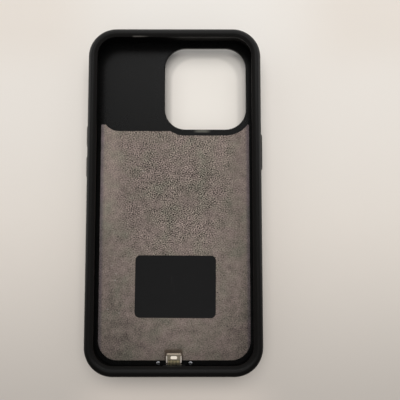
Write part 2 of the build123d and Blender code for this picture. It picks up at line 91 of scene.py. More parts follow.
# A node tree, and the nodes that are used most
class Bench:
    family = "ShaderNode"

    def __init__(self, tree):
        self.tree = tree

    # one way to make any node: its kind, its settings, then its sockets
    # out names the socket that comes back, and None gives the node itself
    def add(self, kind, settings=None, inputs=None, out=0):
        node = self.tree.nodes.new(kind if "Node" in kind else self.family + kind)
        for key, value in (settings or {}).items():
            setattr(node, key, value)
        for key, value in (inputs or {}).items():
            self.feed(node.inputs[key], value)
        return node if out is None else Wire(self, node.outputs[out])

    # a socket takes a wire, a list of wires, a colour or a plain value
    def feed(self, socket, value):
        if isinstance(value, list):
            for wire in value:
                self.feed(socket, wire)
        elif isinstance(value, Wire):
            self.tree.links.new(value.socket, socket)
        elif isinstance(value, tuple) and socket.type == "RGBA":
            socket.default_value = (*value, 1)
        else:
            socket.default_value = value

    def locate(self, place):
        axes = self.add("ShaderNodeSeparateXYZ", None, {"Vector": place}, None).outputs
        self.place = place
        self.x, self.y, self.z = [Wire(self, axes[name]) for name in "XYZ"]

    def maths(self, operation, a, b):
        return self.add("ShaderNodeMath", {"operation": operation}, {0: a, 1: b})

    # how far a value lies past a limit, and 0 before it
    def past(self, value, limit):
        return self.maths("MAXIMUM", value - limit, 0.0)

    def span(self, a, b):
        return (a * a + b * b) ** 0.5

    # 0 at the first limit, 1 at the second, smooth between, in either direction
    def ease(self, value, first, second):
        sockets = {"Value": value, "From Min": first, "From Max": second}
        return self.add("MapRange", {"interpolation_type": "SMOOTHSTEP"}, sockets)

    # a soft patch between limits across and along the case
    def zone(self, columns, rows, across=None):
        return self.ease(across or self.x, *columns) * self.ease(self.y, *rows)

    def noise(self, scale, detail=2.0, rough=0.5, warp=0.0, where=None):
        sockets = {
            "Vector": where or self.place,
            "Scale": scale,
            "Detail": detail,
            "Roughness": rough,
            "Distortion": warp,
        }
        return self.add("TexNoise", None, sockets)

    def cells(self, scale, feature="F1", where=None):
        sockets = {"Vector": where or self.place, "Scale": scale}
        return self.add("TexVoronoi", {"feature": feature}, sockets, "Distance")

    def blend(self, share, low, high, kind="MIX"):
        sockets = {0: share, 6: low, 7: high}
        return self.add("Mix", {"data_type": "RGBA", "blend_type": kind}, sockets, 2)

    def stretch(self, scale=(1, 1, 1), turn=0.0, shift=(0, 0, 0)):
        sockets = {"Vector": self.place, "Scale": scale, "Rotation": (0, 0, turn), "Location": shift}
        return self.add("Mapping", None, sockets)

    def relief(self, height, depth, strength):
        sockets = {"Height": height, "Distance": depth, "Strength": strength}
        return self.add("Bump", None, sockets)


# A material on a bench of its own, in the object's coordinates
class Finish(Bench):
    def __init__(self, name):
        self.material = bpy.data.materials.new(name)
        self.material.use_nodes = True
        super().__init__(self.material.node_tree)
        self.locate(self.add("TexCoord", out="Object"))
        self.shader = self.tree.nodes["Principled BSDF"]

    def wear(self, **sockets):
        for key, value in sockets.items():
            self.feed(self.shader.inputs[key.replace("_", " ")], value)
        return self.material


# A Geometry Nodes tree with named inputs for its sizes, which ends as a plain mesh
class Maker(Bench):
    family = "GeometryNode"

    def __init__(self, name, sizes):
        super().__init__(bpy.data.node_groups.new(name, "GeometryNodeTree"))
        self.keys = {}
        for label, value in sizes.items():
            kind = "NodeSocketInt" if isinstance(value, int) else "NodeSocketFloat"
            socket = self.tree.interface.new_socket(label, in_out="INPUT", socket_type=kind)
            self.keys[socket.identifier] = value
        self.tree.interface.new_socket("Geometry", in_out="OUTPUT", socket_type="NodeSocketGeometry")
        self.entry = self.add("NodeGroupInput", out=None)

    def size(self, label):
        return Wire(self, self.entry.outputs[label])

    def point(self, x, y, z):
        return self.add("ShaderNodeCombineXYZ", None, {"X": x, "Y": y, "Z": z})

    def join(self, *parts):
        return self.add("JoinGeometry", None, {"Geometry": list(parts)})

    def move(self, part, where, turn=(0.0, 0.0, 0.0)):
        return self.add("Transform", None, {"Geometry": part, "Translation": where, "Rotation": turn})

    def finish(self, name, geometry, material):
        whole = self.add("RealizeInstances", None, {"Geometry": geometry})
        whole = self.add("SetMaterial", None, {"Geometry": whole, "Material": material})
        self.add("NodeGroupOutput", None, {0: whole}, None)
        seed = bpy.data.objects.new(name, bpy.data.meshes.new(name + "Seed"))
        scene.collection.objects.link(seed)
        modifier = seed.modifiers.new("maker", "NODES")
        modifier.node_group = self.tree
        for key, value in self.keys.items():
            modifier[key] = value
        return plainMesh(seed)


# Whatever modifiers a piece has become its mesh, with soft edges smooth and crisp ones sharp
crispAngle = 32.0


def plainMesh(piece):
    graph = bpy.context.evaluated_depsgraph_get()
    graph.update()
    mesh = bpy.data.meshes.new_from_object(piece.evaluated_get(graph))
    piece.modifiers.clear()
    piece.data = mesh
    mesh.polygons.foreach_set("use_smooth", [True] * len(mesh.polygons))
    mesh.set_sharp_from_angle(angle=math.radians(crispAngle))
    return piece


# A worked out shape becomes an object without a finish
def bareObject(name, shape):
    mesh = bpy.data.meshes.new(name)
    shape.to_mesh(mesh)
    shape.free()
    piece = bpy.data.objects.new(name, mesh)
    scene.collection.objects.link(piece)
    return piece


# A finished piece rides on the case and stands for a node of the frame
def stand(piece, node):
    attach(piece, "case")
    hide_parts(node)
    print(node, "is remade with", len(piece.data.polygons), "faces")


# Pale table, plain far off and toned round the case as in the photograph
black = (0.0, 0.0, 0.0)
tableTop = {
    "size": 3.0,
    "level": -0.0001,
    "roughness": 0.62,
    "colour": (0.79, 0.753, 0.713),
    "grainColour": (0.755, 0.718, 0.679),
    "grain": (60.0, 3.0),
    "grainShare": 0.5,
    # painted shade towards the plug end, painted light beyond and in front of the case
    "nearColour": (0.53, 0.502, 0.475),
    "nearRows": (0.004, -0.118),
    "farColour": (0.837, 0.825, 0.806),
    "farMiddle": 0.01,
    "farRows": (-0.03, 0.05),
    "farLeast": 0.5,
    "farCore": ((0.06, 0.02), (0.05, 0.08)),
    "farCorner": ((0.045, 0.075), (0.055, 0.085)),
    "frontColour": (0.67, 0.622, 0.584),
    "front": ((0.055, 0.025), (-0.080, -0.090)),
    "middle": 0.011,
    "plainReach": (0.14, 0.36),
    "hazeColour": (0.52, 0.508, 0.492),
    "hazeReach": (0.25, 1.1),
    "glow": 1.0,
}
# painted light and shade on the table as it is seen through the camera opening
opening = {
    "centre": (0.0139, 0.0526),
    "paleColour": (0.895, 0.875, 0.842),
    "paleWidth": (0.021, 0.006),
    "paleLength": (0.026, 0.013),
    "shadeMiddle": 0.0136,
    "shadeHalf": 0.0047,
    "shadeEnd": 0.0582,
    "shadeReach": (0.0100, 0.0122),
    "shadeDepth": 0.21,
    "shadeRight": (0.020, 0.030),
    "shadeRightLoss": 0.3,
    "shadeArea": ((0.0225, 0.0215), (0.026, 0.030)),
    "creepColour": (0.112, 0.108, 0.103),
    "creepArea": ((0.020, 0.015), (0.0703, 0.0724)),
    "caseEnd": (0.0758, 0.0750),
}


def makeTable():
    paint = Finish("paleTable")
    grain = paint.noise(*tableTop["grain"])
    plain = paint.blend(grain * tableTop["grainShare"], tableTop["colour"], tableTop["grainColour"])
    # painted shade: the table darkens towards the plug end of the case
    near = paint.ease(paint.y, *tableTop["nearRows"])
    tone = paint.blend(near, plain, tableTop["nearColour"])
    # painted light: whiter beyond the case but not in the far corners, and a little paler in front of it
    aside = abs(paint.x - tableTop["farMiddle"])
    core = paint.zone(*tableTop["farCore"], aside)
    corner = paint.zone(*tableTop["farCorner"], aside)
    beyond = tableTop["farLeast"] + core * (1 - tableTop["farLeast"])
    beyond = paint.ease(paint.y, *tableTop["farRows"]) * (1 - corner) * beyond
    tone = paint.blend(beyond, tone, tableTop["farColour"])
    front = paint.zone(*tableTop["front"], abs(paint.x))
    tone = paint.blend(front, tone, tableTop["frontColour"])
    # plain again away from the case
    reach = paint.span(paint.x - tableTop["middle"], paint.y)
    tone = paint.blend(paint.ease(reach, *tableTop["plainReach"]), tone, plain)
    # painted light: a little paler under the camera opening
    x, y = opening["centre"]
    across = abs(paint.x - x)
    pale = paint.ease(across, *opening["paleWidth"]) * paint.ease(abs(paint.y - y), *opening["paleLength"])
    tone = paint.blend(pale, tone, opening["paleColour"])
    # shade along the sides and the far edge of the opening
    over = paint.past(abs(paint.x - opening["shadeMiddle"]), opening["shadeHalf"])
    away = paint.past(paint.y, opening["shadeEnd"])
    shade = paint.ease(paint.span(over, away), *opening["shadeReach"])
    shade = shade * (1 - paint.ease(paint.x, *opening["shadeRight"]) * opening["shadeRightLoss"])
    end = paint.ease(paint.y, *opening["caseEnd"])
    shade = shade * paint.zone(*opening["shadeArea"], across) * end
    tone = paint.blend(shade * opening["shadeDepth"], tone, black)
    # painted light: the table glows under the far edge of the opening, where light creeps under it
    creep = paint.zone(*opening["creepArea"], across) * end
    lift = paint.blend(creep, black, opening["creepColour"])
    # painted light: the table glows pale as far as the horizon, where the lamp no longer reaches
    lift = paint.blend(paint.ease(reach, *tableTop["hazeReach"]), lift, tableTop["hazeColour"])
    paint.wear(Base_Color=tone, Roughness=tableTop["roughness"])
    paint.wear(Emission_Color=lift, Emission_Strength=tableTop["glow"])
    half = tableTop["size"] / 2
    corners = [(-half, -half), (half, -half), (half, half), (-half, half)]
    mesh = bpy.data.meshes.new("table")
    mesh.from_pydata([(*corner, tableTop["level"]) for corner in corners], [], [(0, 1, 2, 3)])
    mesh.materials.append(paint.material)
    table = bpy.data.objects.new("table", mesh)
    scene.collection.objects.link(table)


# One soft lamp overhead, towards the camera end. Glossy faces mirror the room and not the lamp.
lampLight = {
    "place": (0.03, 0.246, 1.0),
    "spread": 100.0,
    "size": 0.80,
    "power": 2.9,
    "colour": (1.0, 0.962, 0.915),
}


def makeLamp():
    lamp = bpy.data.lights.new("softLamp", "AREA")
    lamp.shape = "DISK"
    lamp.size = lampLight["size"]
    lamp.energy = lampLight["power"]
    lamp.spread = math.radians(lampLight["spread"])
    lamp.color = lampLight["colour"]
    holder = bpy.data.objects.new("softLamp", lamp)
    holder.location = lampLight["place"]
    holder.visible_glossy = False
    scene.collection.objects.link(holder)


# The room: an even soft light, and a paler and darker one that glossy faces mirror
room = {
    "colour": (1.0, 0.975, 0.945),
    "strength": 0.34,
    "aboveLevel": (0.62, 0.84),
    "ceiling": 0.42,
    "ceilingFar": 0.60,
    "farRows": (0.12, 0.26),
    "sideWidth": (0.06, 0.30),
    "sideLoss": 0.65,
    "overheadLevel": (0.955, 0.992),
    "overheadLoss": 0.75,
    "nearRows": (-0.24, -0.40),
    "nearLoss": 0.85,
    "horizonNear": 0.22,
    "horizonFar": 1.25,
    "horizonRows": (-0.24, 0.20),
    "strip": 0.70,
    "stripArea": ((0.26, 0.16), (-0.06, -0.13)),
    "stripEnd": (-0.31, -0.22),
    "background": (1.0, 1.0, 1.0),
}


def makeSky():
    sky = bpy.data.worlds.new("room")
    scene.world = sky
    sky.use_nodes = True
    sky.node_tree.nodes.remove(sky.node_tree.nodes["Background"])
    bench = Bench(sky.node_tree)
    bench.locate(bench.add("TexCoord", out="Generated"))
    # a horizon and a ceiling that are bright at the far end, a paler strip nearby, dark overhead
    aside = abs(bench.x)
    far = bench.ease(bench.y, *room["farRows"])
    sides = bench.ease(aside, *room["sideWidth"])
    ceiling = (room["ceiling"] + far * room["ceilingFar"]) * (1 - sides * room["sideLoss"])
    rise = room["horizonFar"] - room["horizonNear"]
    horizon = room["horizonNear"] + bench.ease(bench.y, *room["horizonRows"]) * rise
    above = bench.ease(bench.z, *room["aboveLevel"])
    mirrored = horizon + above * (ceiling - horizon)
    overhead = bench.ease(bench.z, *room["overheadLevel"])
    nearSide = bench.ease(bench.y, *room["nearRows"])
    mirrored = mirrored * (1 - overhead * room["overheadLoss"]) * (1 - nearSide * room["nearLoss"])
    strip = bench.zone(*room["stripArea"], aside) * bench.ease(bench.y, *room["stripEnd"])
    mirrored = mirrored + strip * above * room["strip"]
    paths = bench.add("LightPath", out=None).outputs
    rays = ("Is Camera Ray", "Is Glossy Ray", "Is Transmission Ray")
    camera, mirror, through = [Wire(bench, paths[name]) for name in rays]
    bright = bench.add("Clamp", None, {"Value": camera + mirror + through})
    white = bench.maths("MAXIMUM", mirrored, camera)
    soft = bench.add("Background", None, {"Color": room["colour"], "Strength": room["strength"]})
    seen = bench.add("Background", None, {"Color": room["background"], "Strength": white})
    either = bench.add("MixShader", None, {0: bright, 1: soft, 2: seen})
    bench.feed(sky.node_tree.nodes["World Output"].inputs["Surface"], either)


# The photograph's camera
view = {
    "place": (0.01095, -0.02096, 0.25395),
    "turn": (4.906, -0.1, -0.02),
    "lens": 48.7,
    "sensor": 36,
    "nearest": 0.01,
}


def makeCamera():
    lens = bpy.data.cameras.new("camera")
    lens.lens = view["lens"]
    lens.sensor_width = view["sensor"]
    lens.clip_start = view["nearest"]
    camera = bpy.data.objects.new("camera", lens)
    camera.location = view["place"]
    camera.rotation_euler = [math.radians(angle) for angle in view["turn"]]
    scene.collection.objects.link(camera)
    scene.camera = camera


makeTable()
makeLamp()
makeSky()
makeCamera()
print("table, light and camera are in place")


# Soft black rubber of the bumper
rubber = {
    "colour": (0.0046, 0.0043, 0.0041),
    "roughness": 0.45,
    "specular": 0.10,
    "smudge": (70.0, 3.0, 0.6),
    "smudgeRough": 0.12,
    "grain": 3800.0,
    "grainRelief": (0.00002, 0.5),
    "dustColour": (0.09, 0.085, 0.08),
    "dust": 900.0,
    "dustSize": (0.10, 0.04),
    "dustPatch": 45.0,
    "dustCover": (0.5, 0.72),
    "dustShare": 0.8,
    "dustRough": 0.2,
    "dustDull": 0.5,
    "scuffAndGlintColour": (0.060, 0.057, 0.053),
    "glintStart": (-0.0190, -0.0182),
    "glintEnd": (-0.0105, -0.0160),
    "glintRow": 0.0727,
    "glintWidth": (0.0005, 0.0003),
    "glintLevel": (0.0181, 0.0184),
    "half": (0.0385, 0.07655),
    "corner": 0.0125,
    "coatRoughness": 0.25,
    "coatIor": 1.45,
    "crestInset": (0.0031, 0.0022),
    "crestLevel": (0.0172, 0.0178),
    "crestCoat": 0.55,
    "wallInset": (0.0014, 0.0006),
    "wallCoat": 0.45,
    "footRows": (-0.066, -0.072),
    "footInset": 0.0008,
    "footEdge": (0.0026, 0.0019),
    "headRows": (0.066, 0.073),
    "headDull": 0.3,
    "sideRows": (-0.020, -0.058),
    "sideDull": 0.7,
}


def bumperRubber():
    paint = Finish("bumperRubber")
    smudge = paint.noise(*rubber["smudge"])
    grain = paint.noise(rubber["grain"])
    patch = paint.ease(paint.noise(rubber["dustPatch"]), *rubber["dustCover"])
    dust = paint.ease(paint.cells(rubber["dust"]), *rubber["dustSize"]) * patch
    tone = paint.blend(dust * rubber["dustShare"], rubber["colour"], rubber["dustColour"])
    # painted highlight: a short pale glint on the inner edge of the lip at the camera end
    scuffAndGlint = paint.ease(paint.x, *rubber["glintStart"]) * paint.ease(paint.x, *rubber["glintEnd"])
    scuffAndGlint = scuffAndGlint * paint.ease(abs(paint.y - rubber["glintRow"]), *rubber["glintWidth"])
    scuffAndGlint = scuffAndGlint * paint.ease(paint.z, *rubber["glintLevel"])
    tone = paint.blend(scuffAndGlint, tone, rubber["scuffAndGlintColour"])
    # the inside is matte, the crest of the lip and the outer walls are rubbed smooth,
    # and the outer edge of the lip is dull at the plug end
    width, length = [size - rubber["corner"] for size in rubber["half"]]
    outward = paint.span(paint.past(abs(paint.x), width), paint.past(abs(paint.y), length))
    inset = rubber["corner"] - outward
    wall = paint.ease(inset, *rubber["wallInset"])
    lip = paint.ease(paint.z, *rubber["crestLevel"])
    foot = paint.ease(paint.y, *rubber["footRows"])
    edge = foot * lip * paint.ease(inset, *rubber["footEdge"])
    crest = paint.ease(inset - foot * rubber["footInset"], *rubber["crestInset"]) * lip
    coat = paint.maths("MAXIMUM", crest * rubber["crestCoat"], wall * rubber["wallCoat"])
    # duller too at the camera end and along the sides by the plug end
    head = paint.ease(paint.y, *rubber["headRows"])
    side = paint.ease(paint.y, *rubber["sideRows"]) * (1 - foot)
    coat = coat * (1 - head * rubber["headDull"]) * (1 - side * rubber["sideDull"])
    coat = coat * (1 - dust * rubber["dustDull"]) * (1 - edge)
    rough = rubber["roughness"] + (smudge - 0.5) * rubber["smudgeRough"] + dust * rubber["dustRough"]
    bump = paint.relief(grain, *rubber["grainRelief"])
    paint.wear(Coat_Roughness=rubber["coatRoughness"], Coat_IOR=rubber["coatIor"], Coat_Weight=coat)
    paint.wear(Specular_IOR_Level=rubber["specular"])
    return paint.wear(Base_Color=tone, Roughness=rough, Normal=bump)


# Hard black plastic of the back shell and the inner panel
plastic = {
    "colour": (0.0030, 0.0030, 0.0031),
    "roughness": 0.28,
    "specular": 0.31,
    "smudgeColour": (0.005, 0.005, 0.005),
    "smudge": (55.0, 3.0, 0.6),
    "smudgeShare": 0.5,
    "smudgeRough": 0.1,
    "grain": 5200.0,
    "grainRough": 0.06,
    "grainRelief": (0.000012, 0.5),
    "reflectionColour": (0.105, 0.105, 0.092),
    "reflectionPlace": (0.0123, 0.0320),
    "reflectionLength": (0.0045, 0.00135),
    "reflectionWidth": (0.0010, 0.0003),
    "reflectionLevel": (0.0074, 0.0082),
    "reflectionShare": 0.85,
}


def shellPlastic():
    paint = Finish("shellPlastic")
    smudge = paint.noise(*plastic["smudge"])
    grain = paint.noise(plastic["grain"])
    rough = plastic["roughness"] + (smudge - 0.5) * plastic["smudgeRough"]
    rough = rough + (grain - 0.5) * plastic["grainRough"]
    tone = paint.blend(smudge * plastic["smudgeShare"], plastic["colour"], plastic["smudgeColour"])
    # painted reflection: a short pale strip at the foot of the camera opening
    x, y = plastic["reflectionPlace"]
    paintedHighlight = paint.ease(abs(paint.x - x), *plastic["reflectionLength"])
    paintedHighlight = paintedHighlight * paint.ease(abs(paint.y - y), *plastic["reflectionWidth"])
    paintedHighlight = paintedHighlight * paint.ease(paint.z, *plastic["reflectionLevel"])
    tone = paint.blend(paintedHighlight * plastic["reflectionShare"], tone, plastic["reflectionColour"])
    bump = paint.relief(grain, *plastic["grainRelief"])
    paint.wear(Specular_IOR_Level=plastic["specular"])
    return paint.wear(Base_Color=tone, Roughness=rough, Normal=bump)


# Grey suede that the phone lies on
suede = {
    "colour": (0.200, 0.172, 0.150),
    "roughness": 0.92,
    "sheen": 0.15,
    "sheenRoughness": 0.5,
    "brightness": 0.88,
    "lean": 0.6,
    "worm": 660.0,
    "wormFrequency": 1.7,
    "wormStretch": (0.9, 1.08, 1.0),
    "wormGain": 3.65,
    "wormHeight": 0.8,
    "fibre": (2600.0, 2.0, 0.6, 0.6),
    "fibreGain": 0.4,
    "fibreHeight": 0.4,
    "relief": (0.00014, 0.6),
    "tuft": (1900.0, 0.0, 0.5, 0.9),
    "tuftGain": 2.3,
    "tuftLeast": 0.3,
    "mottle": (300.0, 1.0),
    "mottleGain": 0.7,
    "cloud": (30.0, 3.0, 0.55),
    "cloudGain": 0.5,
    "roughWidth": (0.033, 0.012),
    "roughSlant": 0.15,
    "roughRows": (-0.038, -0.012),
    "roughLeast": 0.21,
    "patch": 120.0,
    "patchShift": (3, 1, 0),
    "patchCover": (0.34, 0.52),
    "patchLeast": 0.45,
    "areas": [
        ((-0.021, -0.029), (-0.026, -0.004), 0.30),
        ((0.010, 0.022), (-0.016, 0.010), 0.09),
        ((0.012, 0.030), (-0.030, -0.058), -0.12),
        ((-0.012, -0.026), (-0.026, -0.048), -0.10),
        ((0.027, 0.034), (0.010, -0.030), -0.12),
    ],
    "footRows": (-0.045, -0.074),
    "footDim": 0.2,
    "halfWidth": 0.03385,
    "edgeBand": (0.0021, 0.000525),
    "edgeDim": 0.30,
    "edgeCool": 0.18,
    "blotch": (110.0, 2.0, 0.55),
    "warmColour": (0.212, 0.173, 0.158),
    "warmCover": (0.42, 0.62),
    "coolColour": (0.182, 0.168, 0.141),
    "coolCover": (0.46, 0.30),
    "stainColour": (0.112, 0.092, 0.078),
    "stain": (95.0, 3.0, 0.6),
    "stainCover": (0.60, 0.78),
    "stainShare": 0.30,
    "plugShadowColour": (0.055, 0.038, 0.024),
    "plugShadowMiddle": -0.0003,
    "plugShadowArea": ((0.0046, 0.0034), (-0.0658, -0.0667)),
    "plugShadowShare": 0.8,
    "speckColour": (0.03, 0.026, 0.024),
    "speck": 140.0,
    "speckSize": (0.060, 0.030),
    "speckShare": 0.8,
    "lintColour": (0.42, 0.40, 0.38),
    "lint": 95.0,
    "lintTurn": 0.6,
    "lintShift": (0.4, 0.2, 0),
    "lintSize": (0.040, 0.018),
    "lintShare": 0.6,
    "crumb": 330.0,
    "crumbTurn": 0.3,
    "crumbShift": (0.1, 0.7, 0),
    "crumbSize": (0.17, 0.09),
    "crumbArea": ((-0.020, -0.030), (-0.020, -0.034)),
    "crumbShare": 0.5,
}


def suedeNap():
    paint = Finish("suedeNap")
    fibre = paint.noise(*suede["fibre"])
    sockets = {
        "Vector": paint.stretch(suede["wormStretch"]),
        "Scale": suede["worm"],
        "Frequency": suede["wormFrequency"],
        "Anisotropy": 0.0,
    }
    worm = paint.add("TexGabor", None, sockets)
    # the nap is roughed up in the middle and lies flat in patches, by the label and at the edges
    middle = paint.ease(abs(paint.x) - paint.y * suede["roughSlant"], *suede["roughWidth"])
    upper = paint.ease(paint.y, *suede["roughRows"])
    patch = paint.noise(suede["patch"], where=paint.stretch(shift=suede["patchShift"]))
    patch = paint.ease(patch, *suede["patchCover"])
    rough = suede["roughLeast"] + (1 - suede["roughLeast"]) * middle * upper
    rough = rough * (suede["patchLeast"] + (1 - suede["patchLeast"]) * patch)
    tufted = suede["tuftLeast"] + (1 - suede["tuftLeast"]) * rough
    light = suede["brightness"] + (worm - 0.5) * rough * suede["wormGain"]
    light = light + (paint.noise(*suede["tuft"]) - 0.5) * tufted * suede["tuftGain"]
    light = light + (fibre - 0.5) * suede["fibreGain"]
    light = light + (paint.noise(*suede["mottle"]) - 0.5) * suede["mottleGain"]
    light = light + (paint.noise(*suede["cloud"]) - 0.5) * suede["cloudGain"]
    light = light - paint.x * suede["lean"]
    # painted light and shade: lighter at the upper left and upper right, darker in the lower corners and at
    # the right edge
    for columns, rows, gain in suede["areas"]:
        light = light + paint.zone(columns, rows) * gain
    # painted shade: darker at the foot, and darker and cooler along the sides by the walls
    light = light * (1 - paint.ease(paint.y, *suede["footRows"]) * suede["footDim"])
    edge = paint.ease(suede["halfWidth"] - abs(paint.x), *suede["edgeBand"])
    light = light * (1 - edge * suede["edgeDim"])
    blue = light * (1 + edge * suede["edgeCool"])
    blotch = paint.noise(*suede["blotch"])
    stain = paint.ease(paint.noise(*suede["stain"]), *suede["stainCover"])
    tone = paint.blend(paint.ease(blotch, *suede["warmCover"]), suede["colour"], suede["warmColour"])
    tone = paint.blend(paint.ease(blotch, *suede["coolCover"]), tone, suede["coolColour"])
    tone = paint.blend(stain * suede["stainShare"], tone, suede["stainColour"])
    grey = paint.add("CombineXYZ", None, {"X": light, "Y": light, "Z": blue})
    tone = paint.blend(1.0, tone, grey, "MULTIPLY")
    # painted shadow of the plug, brown, round its tip and sides
    plugShadow = paint.zone(*suede["plugShadowArea"], abs(paint.x - suede["plugShadowMiddle"]))
    tone = paint.blend(plugShadow * suede["plugShadowShare"], tone, suede["plugShadowColour"])
    # a few dark specks, pale bits of lint, and crumbs of it along the left side
    speck = paint.ease(paint.cells(suede["speck"]), *suede["speckSize"])
    tone = paint.blend(speck * suede["speckShare"], tone, suede["speckColour"])
    where = paint.stretch(turn=suede["lintTurn"], shift=suede["lintShift"])
    lint = paint.ease(paint.cells(suede["lint"], where=where), *suede["lintSize"])
    tone = paint.blend(lint * suede["lintShare"], tone, suede["lintColour"])
    where = paint.stretch(turn=suede["crumbTurn"], shift=suede["crumbShift"])
    crumb = paint.ease(paint.cells(suede["crumb"], where=where), *suede["crumbSize"])
    crumb = crumb * paint.zone(*suede["crumbArea"])
    tone = paint.blend(crumb * suede["crumbShare"], tone, suede["lintColour"])
    height = fibre * suede["fibreHeight"] + worm * rough * suede["wormHeight"]
    bump = paint.relief(height, *suede["relief"])
    paint.wear(Sheen_Weight=suede["sheen"], Sheen_Roughness=suede["sheenRoughness"])
    return paint.wear(Base_Color=tone, Roughness=suede["roughness"], Normal=bump)


# Blank black label
film = {
    "colour": (0.0036, 0.0036, 0.0039),
    "roughness": 0.36,
    "specular": 0.36,
    "haze": (120.0, 3.0, 0.6),
    "hazeRough": 0.12,
    "hazeRelief": (0.00004, 0.4),
    "scuffAndGlintColour": (0.03, 0.03, 0.03),
    "scuffAndGlint": 700.0,
    "scuffStretch": (1.0, 0.06, 1.0),
    "scuffTurn": 0.7,
    "scuffCover": (0.68, 0.76),
    "scuffShare": 0.35,
    "scuffRough": 0.12,
}


def labelFilm():
    paint = Finish("labelFilm")
    haze = paint.noise(*film["haze"])
    scuffAndGlint = paint.noise(film["scuffAndGlint"], where=paint.stretch(film["scuffStretch"], film["scuffTurn"]))
    scuffAndGlint = paint.ease(scuffAndGlint, *film["scuffCover"])
    tone = paint.blend(scuffAndGlint * film["scuffShare"], film["colour"], film["scuffAndGlintColour"])
    rough = film["roughness"] + (haze - 0.5) * film["hazeRough"] + scuffAndGlint * film["scuffRough"]
    bump = paint.relief(haze, *film["hazeRelief"])
    paint.wear(Specular_IOR_Level=film["specular"])
    return paint.wear(Base_Color=tone, Roughness=rough, Normal=bump)


# Metals with a brushed grain and a little tarnish
metal = {
    "stretch": (1.0, 0.08, 1.0),
    "brushRough": 0.16,
    "brushRelief": (0.000006, 0.4),
    "tarnish": (400.0, 3.0, 0.6),
    "tarnishShare": 0.5,
    "tarnishDim": 0.7,
}


def brushedMetal(name, colour, roughness, grain):
    paint = Finish(name)
    brush = paint.noise(grain, where=paint.stretch(metal["stretch"]))
    tarnish = paint.noise(*metal["tarnish"])
    dull = tuple(part * metal["tarnishDim"] for part in colour)
    tone = paint.blend(tarnish * metal["tarnishShare"], colour, dull)
    rough = roughness + (brush - 0.5) * metal["brushRough"]
    bump = paint.relief(brush, *metal["brushRelief"])
    return paint.wear(Base_Color=tone, Roughness=rough, Metallic=1.0, Normal=bump)


# Finish of the plug's blade
plating = {
    "colour": (0.49, 0.415, 0.31),
    "roughness": 0.34,
    "brush": 2600.0,
    "brushStretch": (1.0, 0.1, 1.0),
    "brushRough": 0.2,
    "brushRelief": (0.000005, 0.4),
    "tarnishColour": (0.30, 0.255, 0.21),
    "tarnish": (500.0, 3.0, 0.6),
    "tarnishShare": 0.6,
    "dimpleReflectionColour": (0.93, 0.86, 0.76),
    "dimpleEdge": (1.02, 0.94),
    "dimpleLevel": (0.0142, 0.0144),
    "highlightColour": (0.66, 0.62, 0.57),
    "highlightEdge": (0.0006, 0.0003),
    "highlightRows": (-0.0717, -0.0708),
    "highlightShare": 0.85,
    "notchFromTip": 0.0008,
    "notchWidth": (0.0004, 0.00015),
    "noseHighlightColour": (0.58, 0.49, 0.40),
    "noseHighlightShare": 0.75,
    "highlightLoss": 0.7,
    "darkRootColour": (0.012, 0.012, 0.012),
    "darkRootEnd": (-0.0717, -0.0721),
    "darkRootRough": 0.15,
}
# Shape of the plug's blade
plug = {
    "halfWidth": 0.00335,
    "root": -0.0739,
    "tip": -0.0672,
    "low": 0.013075,
    "high": 0.014575,
    "round": 0.00058,
    "roundSteps": 5,
    "levelWithin": 1e-7,
    "rootWithin": 1e-6,
    "noseHalf": 0.00312,
    "noseLength": 0.0010,
    "noseStep": 0.0002,
    "noseCorner": 0.00035,
    "noseSteps": 6,
    "detentRadius": 0.00045,
    "detentFlat": 0.6,
    "detentFromTip": 0.0043,
    "detentSteps": 8,
    "seat": (0.00255, -0.0724, -0.0699, 0.0002),
    "dimpleCentre": -0.06895,
    "dimpleHalf": (0.00145, 0.00068),
    "dimpleDepth": 0.0001,
    "dimpleSteps": 32,
    "cutterReach": 0.001,
}


def plugMetal():
    paint = Finish("plugMetal")
    brush = paint.noise(plating["brush"], where=paint.stretch(plating["brushStretch"]))
    tarnish = paint.noise(*plating["tarnish"])
    # painted reflection: a pill shaped mask fills the shallow dimple pale
    long, wide = plug["dimpleHalf"]
    along = paint.past(abs(paint.x), long - wide)
    reach = paint.span(along, paint.y - plug["dimpleCentre"])
    pill = paint.ease(reach, *[wide * share for share in plating["dimpleEdge"]])
    pill = pill * paint.ease(paint.z, *plating["dimpleLevel"])
    # painted highlight: the round edges and the nose are painted bright
    side = paint.ease(abs(paint.x), *[plug["halfWidth"] - edge for edge in plating["highlightEdge"]])
    nose = paint.ease(paint.y, *[plug["tip"] - edge for edge in plating["highlightEdge"]])
    notch = abs(paint.y - (plug["tip"] - plating["notchFromTip"]))
    notch = paint.ease(notch, *plating["notchWidth"])
    side = side * (1 - notch) * paint.ease(paint.y, *plating["highlightRows"])
    nose = nose * plating["noseHighlightShare"]
    tone = paint.blend(tarnish * plating["tarnishShare"], plating["colour"], plating["tarnishColour"])
    tone = paint.blend(side * plating["highlightShare"], tone, plating["highlightColour"])
    tone = paint.blend(nose, tone, plating["noseHighlightColour"])
    tone = paint.blend(pill, tone, plating["dimpleReflectionColour"])
    # the blade is black towards its root
    darkRoot = paint.ease(paint.y, *plating["darkRootEnd"])
    tone = paint.blend(darkRoot, tone, plating["darkRootColour"])
    rough = plating["roughness"] + (brush - 0.5) * plating["brushRough"]
    rough = rough + darkRoot * plating["darkRootRough"]
    bump = paint.relief(brush, *plating["brushRelief"])
    paintedHighlight = paint.maths("MAXIMUM", side, nose) * plating["highlightLoss"]
    bare = 1 - paint.maths("MAXIMUM", pill, paint.maths("MAXIMUM", paintedHighlight, darkRoot))
    return paint.wear(Base_Color=tone, Roughness=rough, Metallic=bare, Normal=bump)


